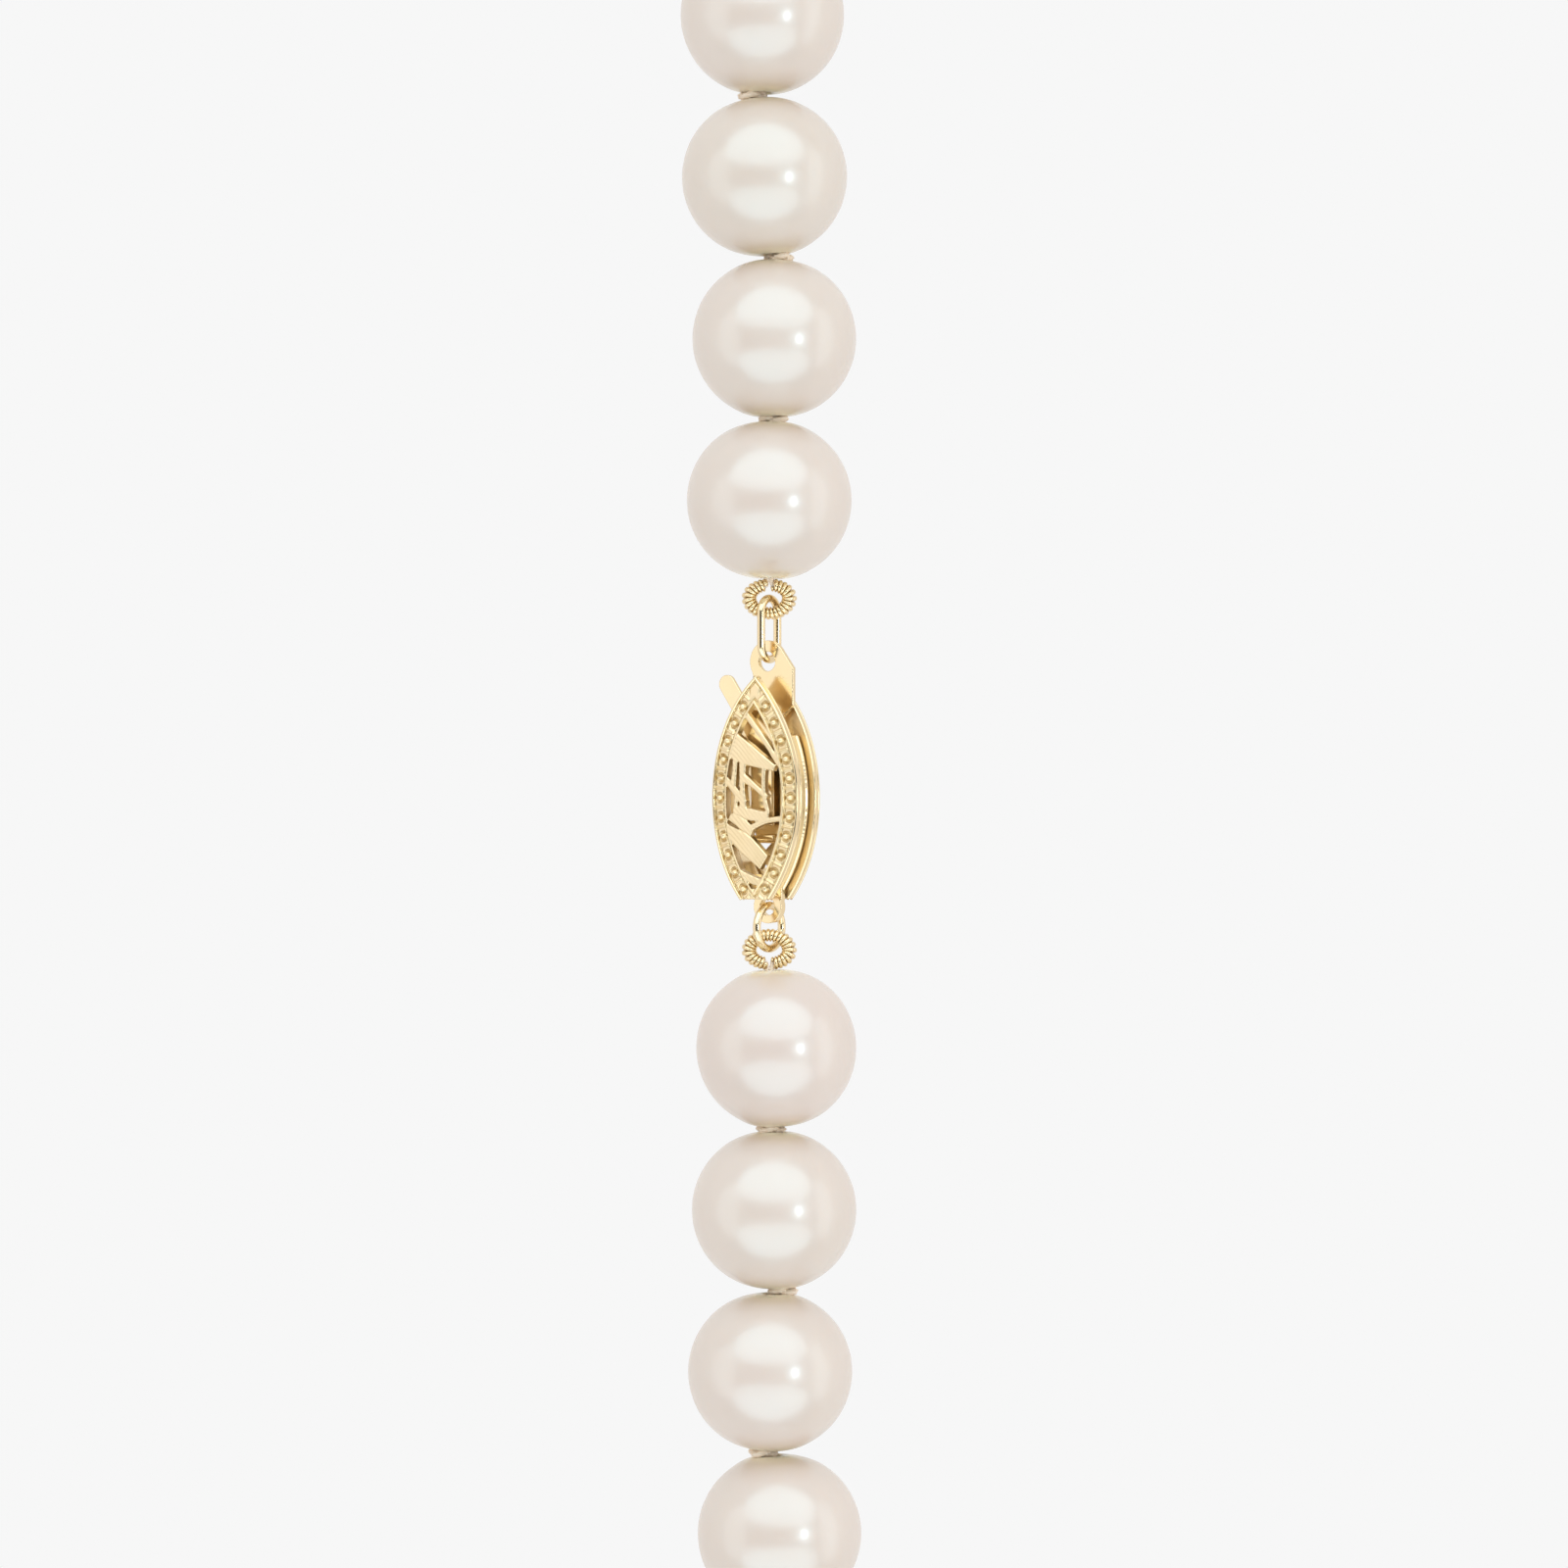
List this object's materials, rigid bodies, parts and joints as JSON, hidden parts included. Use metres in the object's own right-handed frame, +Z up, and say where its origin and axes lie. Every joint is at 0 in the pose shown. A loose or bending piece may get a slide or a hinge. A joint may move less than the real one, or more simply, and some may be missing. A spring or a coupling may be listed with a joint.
{
  "type": "pearl necklace",
  "caption": "Single strand of round cultured pearls, knotted on silk, closed by a gold marquise filigree fish-hook clasp.",
  "frame": {"origin": "under the middle of the closed necklace, on the surface that it lies on", "axes": "+Z up, +Y along the clasp towards its hook end, +X from the clasp across the loop"},
  "size_m": [0.0873, 0.1668, 0.0085],
  "materials": {
    "pearl": "polished nacre, cream white with a faint pink and green overtone",
    "gold": "polished yellow gold",
    "french_wire": "bright coiled gold wire",
    "silk": "twisted cream silk"
  },
  "bodies": {
    "clasp": {"clasp_back": "gold", "clasp_band": "gold", "clasp_front": "gold", "catch_bar": "gold", "end_tab": "gold", "silk_thread": "silk"},
    "hook": {"hook_plate": "gold"},
    "tongue": {"spring_tongue": "gold"},
    "link": {"hook_link": "gold"},
    "ring": {"end_ring": "gold"},
    "pearl_01": {"pearl_01": "pearl", "lower_french_wire": "french_wire"},
    "pearl_02": {"pearl_02": "pearl"},
    "pearl_03": {"pearl_03": "pearl"},
    "pearl_04": {"pearl_04": "pearl"},
    "pearl_05": {"pearl_05": "pearl"},
    "pearl_06": {"pearl_06": "pearl"},
    "pearl_07": {"pearl_07": "pearl"},
    "pearl_08": {"pearl_08": "pearl"},
    "pearl_09": {"pearl_09": "pearl"},
    "pearl_10": {"pearl_10": "pearl"},
    "pearl_11": {"pearl_11": "pearl"},
    "pearl_12": {"pearl_12": "pearl"},
    "pearl_13": {"pearl_13": "pearl"},
    "pearl_14": {"pearl_14": "pearl"},
    "pearl_15": {"pearl_15": "pearl"},
    "pearl_16": {"pearl_16": "pearl"},
    "pearl_17": {"pearl_17": "pearl"},
    "pearl_18": {"pearl_18": "pearl"},
    "pearl_19": {"pearl_19": "pearl"},
    "pearl_20": {"pearl_20": "pearl"},
    "pearl_21": {"pearl_21": "pearl"},
    "pearl_22": {"pearl_22": "pearl"},
    "pearl_23": {"pearl_23": "pearl"},
    "pearl_24": {"pearl_24": "pearl"},
    "pearl_25": {"pearl_25": "pearl"},
    "pearl_26": {"pearl_26": "pearl"},
    "pearl_27": {"pearl_27": "pearl"},
    "pearl_28": {"pearl_28": "pearl"},
    "pearl_29": {"pearl_29": "pearl"},
    "pearl_30": {"pearl_30": "pearl"},
    "pearl_31": {"pearl_31": "pearl"},
    "pearl_32": {"pearl_32": "pearl"},
    "pearl_33": {"pearl_33": "pearl"},
    "pearl_34": {"pearl_34": "pearl"},
    "pearl_35": {"pearl_35": "pearl"},
    "pearl_36": {"pearl_36": "pearl"},
    "pearl_37": {"pearl_37": "pearl"},
    "pearl_38": {"pearl_38": "pearl"},
    "pearl_39": {"pearl_39": "pearl"},
    "pearl_40": {"pearl_40": "pearl"},
    "pearl_41": {"pearl_41": "pearl"},
    "pearl_42": {"pearl_42": "pearl"},
    "pearl_43": {"pearl_43": "pearl"},
    "pearl_44": {"pearl_44": "pearl"},
    "pearl_45": {"pearl_45": "pearl"},
    "pearl_46": {"pearl_46": "pearl"},
    "pearl_47": {"pearl_47": "pearl", "upper_french_wire": "french_wire"}
  },
  "joints": [
    {"name": "hook_slide", "type": "slide", "parent": "clasp", "child": "hook", "axis": [0, 1, 0], "range_m": [0, 0.014]},
    {"name": "tongue_press", "type": "hinge", "parent": "hook", "child": "tongue", "pos_m": [-0.0394, -0.0031, 0.0045], "axis": [0.8192, 0, 0.5736], "range_deg": [-1.8, 0], "stiffness_Nm_per_rad": 0.02},
    {"name": "link_swing", "type": "hinge", "parent": "hook", "child": "link", "pos_m": [-0.03923, 0.00657, 0.00425], "axis": [0.8192, 0, 0.5736], "range_deg": [0, 35]},
    {"name": "upper_wire_swing", "type": "hinge", "parent": "link", "child": "pearl_47", "pos_m": [-0.03923, 0.00825, 0.00425], "axis": [1, 0, 0], "range_deg": [-30, 30]},
    {"name": "ring_swing", "type": "hinge", "parent": "clasp", "child": "ring", "pos_m": [-0.03923, -0.0067, 0.00425], "axis": [-0.8192, 0, -0.5736], "range_deg": [0, 30]},
    {"name": "lower_wire_swing", "type": "hinge", "parent": "ring", "child": "pearl_01", "pos_m": [-0.03923, -0.00825, 0.00425], "axis": [1, 0, 0], "range_deg": [-30, 30]},
    {"name": "knot_46_bend", "type": "hinge", "parent": "pearl_47", "child": "pearl_46", "pos_m": [-0.03903, 0.0181, 0.00425], "axis": [0, 0, 1], "range_deg": [0, 16], "deforming": ["silk_thread"]},
    {"name": "knot_45_lift", "type": "hinge", "parent": "pearl_46", "child": "pearl_45", "pos_m": [-0.03913, 0.02635, 0.00425], "axis": [0.9993, 0.0363, 0], "range_deg": [-14, 14]},
    {"name": "knot_44_bend", "type": "hinge", "parent": "pearl_45", "child": "pearl_44", "pos_m": [-0.03963, 0.0346, 0.00425], "axis": [0, 0, 1], "range_deg": [0, 16]},
    {"name": "knot_43_lift", "type": "hinge", "parent": "pearl_44", "child": "pearl_43", "pos_m": [-0.03953, 0.04285, 0.00425], "axis": [-0.9937, 0.1122, 0], "range_deg": [-14, 14]},
    {"name": "knot_42_bend", "type": "hinge", "parent": "pearl_43", "child": "pearl_42", "pos_m": [-0.03777, 0.05097, 0.00425], "axis": [0, 0, 1], "range_deg": [0, 26]},
    {"name": "knot_41_lift", "type": "hinge", "parent": "pearl_42", "child": "pearl_41", "pos_m": [-0.03466, 0.05861, 0.00425], "axis": [0.8817, -0.4719, 0], "range_deg": [-14, 14]},
    {"name": "knot_40_bend", "type": "hinge", "parent": "pearl_41", "child": "pearl_40", "pos_m": [-0.03003, 0.06544, 0.00425], "axis": [0, 0, 1], "range_deg": [0, 26]},
    {"name": "knot_39_lift", "type": "hinge", "parent": "pearl_40", "child": "pearl_39", "pos_m": [-0.02408, 0.07115, 0.00425], "axis": [-0.6135, 0.7897, 0], "range_deg": [-14, 14]},
    {"name": "knot_38_bend", "type": "hinge", "parent": "pearl_39", "child": "pearl_38", "pos_m": [-0.01707, 0.07551, 0.00425], "axis": [0, 0, 1], "range_deg": [0, 26]},
    {"name": "knot_37_lift", "type": "hinge", "parent": "pearl_38", "child": "pearl_37", "pos_m": [-0.00931, 0.07831, 0.00425], "axis": [0.2393, -0.971, 0], "range_deg": [-14, 14]},
    {"name": "knot_36_bend", "type": "hinge", "parent": "pearl_37", "child": "pearl_36", "pos_m": [-0.00114, 0.07943, 0.00425], "axis": [0, 0, 1], "range_deg": [0, 26]},
    {"name": "knot_35_lift", "type": "hinge", "parent": "pearl_36", "child": "pearl_35", "pos_m": [0.00709, 0.07883, 0.00425], "axis": [0.1763, 0.9843, 0], "range_deg": [-14, 14]},
    {"name": "knot_34_bend", "type": "hinge", "parent": "pearl_35", "child": "pearl_34", "pos_m": [0.01502, 0.07654, 0.00425], "axis": [0, 0, 1], "range_deg": [0, 26]},
    {"name": "knot_33_lift", "type": "hinge", "parent": "pearl_34", "child": "pearl_33", "pos_m": [0.02229, 0.07265, 0.00425], "axis": [-0.5615, -0.8275, 0], "range_deg": [-14, 14]},
    {"name": "knot_32_bend", "type": "hinge", "parent": "pearl_33", "child": "pearl_32", "pos_m": [0.02859, 0.06733, 0.00425], "axis": [0, 0, 1], "range_deg": [0, 26]},
    {"name": "knot_31_lift", "type": "hinge", "parent": "pearl_32", "child": "pearl_31", "pos_m": [0.03366, 0.06081, 0.00425], "axis": [0.8495, 0.5276, 0], "range_deg": [-14, 14]},
    {"name": "knot_30_bend", "type": "hinge", "parent": "pearl_31", "child": "pearl_30", "pos_m": [0.03725, 0.05339, 0.00425], "axis": [0, 0, 1], "range_deg": [0, 26]},
    {"name": "knot_29_lift", "type": "hinge", "parent": "pearl_30", "child": "pearl_29", "pos_m": [0.03923, 0.04537, 0.00425], "axis": [-0.9927, -0.1205, 0], "range_deg": [-14, 14]},
    {"name": "knot_28_bend", "type": "hinge", "parent": "pearl_29", "child": "pearl_28", "pos_m": [0.03923, 0.03712, 0.00425], "axis": [0, 0, 1], "range_deg": [0, 16]},
    {"name": "knot_27_lift", "type": "hinge", "parent": "pearl_28", "child": "pearl_27", "pos_m": [0.03923, 0.02888, 0.00425], "axis": [1, 0, 0], "range_deg": [-14, 14]},
    {"name": "knot_26_bend", "type": "hinge", "parent": "pearl_27", "child": "pearl_26", "pos_m": [0.03923, 0.02063, 0.00425], "axis": [0, 0, 1], "range_deg": [0, 16]},
    {"name": "knot_25_lift", "type": "hinge", "parent": "pearl_26", "child": "pearl_25", "pos_m": [0.03923, 0.01238, 0.00425], "axis": [-1, 0, 0], "range_deg": [-14, 14]},
    {"name": "knot_01_bend", "type": "hinge", "parent": "pearl_01", "child": "pearl_02", "pos_m": [-0.03883, -0.0181, 0.00425], "axis": [0, 0, -1], "range_deg": [0, 16]},
    {"name": "knot_02_lift", "type": "hinge", "parent": "pearl_02", "child": "pearl_03", "pos_m": [-0.03903, -0.02635, 0.00425], "axis": [-0.9998, 0.0182, 0], "range_deg": [-14, 14]},
    {"name": "knot_03_bend", "type": "hinge", "parent": "pearl_03", "child": "pearl_04", "pos_m": [-0.03913, -0.0346, 0.00425], "axis": [0, 0, -1], "range_deg": [0, 16]},
    {"name": "knot_04_lift", "type": "hinge", "parent": "pearl_04", "child": "pearl_05", "pos_m": [-0.03873, -0.04285, 0.00425], "axis": [0.9966, 0.0826, 0], "range_deg": [-14, 14]},
    {"name": "knot_05_bend", "type": "hinge", "parent": "pearl_05", "child": "pearl_06", "pos_m": [-0.03777, -0.05097, 0.00425], "axis": [0, 0, -1], "range_deg": [0, 26]},
    {"name": "knot_06_lift", "type": "hinge", "parent": "pearl_06", "child": "pearl_07", "pos_m": [-0.03466, -0.05861, 0.00425], "axis": [-0.8817, -0.4719, 0], "range_deg": [-14, 14]},
    {"name": "knot_07_bend", "type": "hinge", "parent": "pearl_07", "child": "pearl_08", "pos_m": [-0.03003, -0.06544, 0.00425], "axis": [0, 0, -1], "range_deg": [0, 26]},
    {"name": "knot_08_lift", "type": "hinge", "parent": "pearl_08", "child": "pearl_09", "pos_m": [-0.02408, -0.07115, 0.00425], "axis": [0.6135, 0.7897, 0], "range_deg": [-14, 14]},
    {"name": "knot_09_bend", "type": "hinge", "parent": "pearl_09", "child": "pearl_10", "pos_m": [-0.01707, -0.07551, 0.00425], "axis": [0, 0, -1], "range_deg": [0, 26]},
    {"name": "knot_10_lift", "type": "hinge", "parent": "pearl_10", "child": "pearl_11", "pos_m": [-0.00931, -0.07831, 0.00425], "axis": [-0.2393, -0.971, 0], "range_deg": [-14, 14]},
    {"name": "knot_11_bend", "type": "hinge", "parent": "pearl_11", "child": "pearl_12", "pos_m": [-0.00114, -0.07943, 0.00425], "axis": [0, 0, -1], "range_deg": [0, 26]},
    {"name": "knot_12_lift", "type": "hinge", "parent": "pearl_12", "child": "pearl_13", "pos_m": [0.00709, -0.07883, 0.00425], "axis": [-0.1763, 0.9843, 0], "range_deg": [-14, 14]},
    {"name": "knot_13_bend", "type": "hinge", "parent": "pearl_13", "child": "pearl_14", "pos_m": [0.01502, -0.07654, 0.00425], "axis": [0, 0, -1], "range_deg": [0, 26]},
    {"name": "knot_14_lift", "type": "hinge", "parent": "pearl_14", "child": "pearl_15", "pos_m": [0.02229, -0.07265, 0.00425], "axis": [0.5615, -0.8275, 0], "range_deg": [-14, 14]},
    {"name": "knot_15_bend", "type": "hinge", "parent": "pearl_15", "child": "pearl_16", "pos_m": [0.02859, -0.06733, 0.00425], "axis": [0, 0, -1], "range_deg": [0, 26]},
    {"name": "knot_16_lift", "type": "hinge", "parent": "pearl_16", "child": "pearl_17", "pos_m": [0.03366, -0.06081, 0.00425], "axis": [-0.8495, 0.5276, 0], "range_deg": [-14, 14]},
    {"name": "knot_17_bend", "type": "hinge", "parent": "pearl_17", "child": "pearl_18", "pos_m": [0.03725, -0.05339, 0.00425], "axis": [0, 0, -1], "range_deg": [0, 26]},
    {"name": "knot_18_lift", "type": "hinge", "parent": "pearl_18", "child": "pearl_19", "pos_m": [0.03923, -0.04537, 0.00425], "axis": [0.9927, -0.1205, 0], "range_deg": [-14, 14]},
    {"name": "knot_19_bend", "type": "hinge", "parent": "pearl_19", "child": "pearl_20", "pos_m": [0.03923, -0.03712, 0.00425], "axis": [0, 0, -1], "range_deg": [0, 16]},
    {"name": "knot_20_lift", "type": "hinge", "parent": "pearl_20", "child": "pearl_21", "pos_m": [0.03923, -0.02888, 0.00425], "axis": [-1, 0, 0], "range_deg": [-14, 14]},
    {"name": "knot_21_bend", "type": "hinge", "parent": "pearl_21", "child": "pearl_22", "pos_m": [0.03923, -0.02063, 0.00425], "axis": [0, 0, -1], "range_deg": [0, 16]},
    {"name": "knot_22_lift", "type": "hinge", "parent": "pearl_22", "child": "pearl_23", "pos_m": [0.03923, -0.01238, 0.00425], "axis": [1, 0, 0], "range_deg": [-14, 14]},
    {"name": "knot_23_bend", "type": "hinge", "parent": "pearl_23", "child": "pearl_24", "pos_m": [0.03923, -0.00413, 0.00425], "axis": [0, 0, -1], "range_deg": [0, 16]}
  ]
}
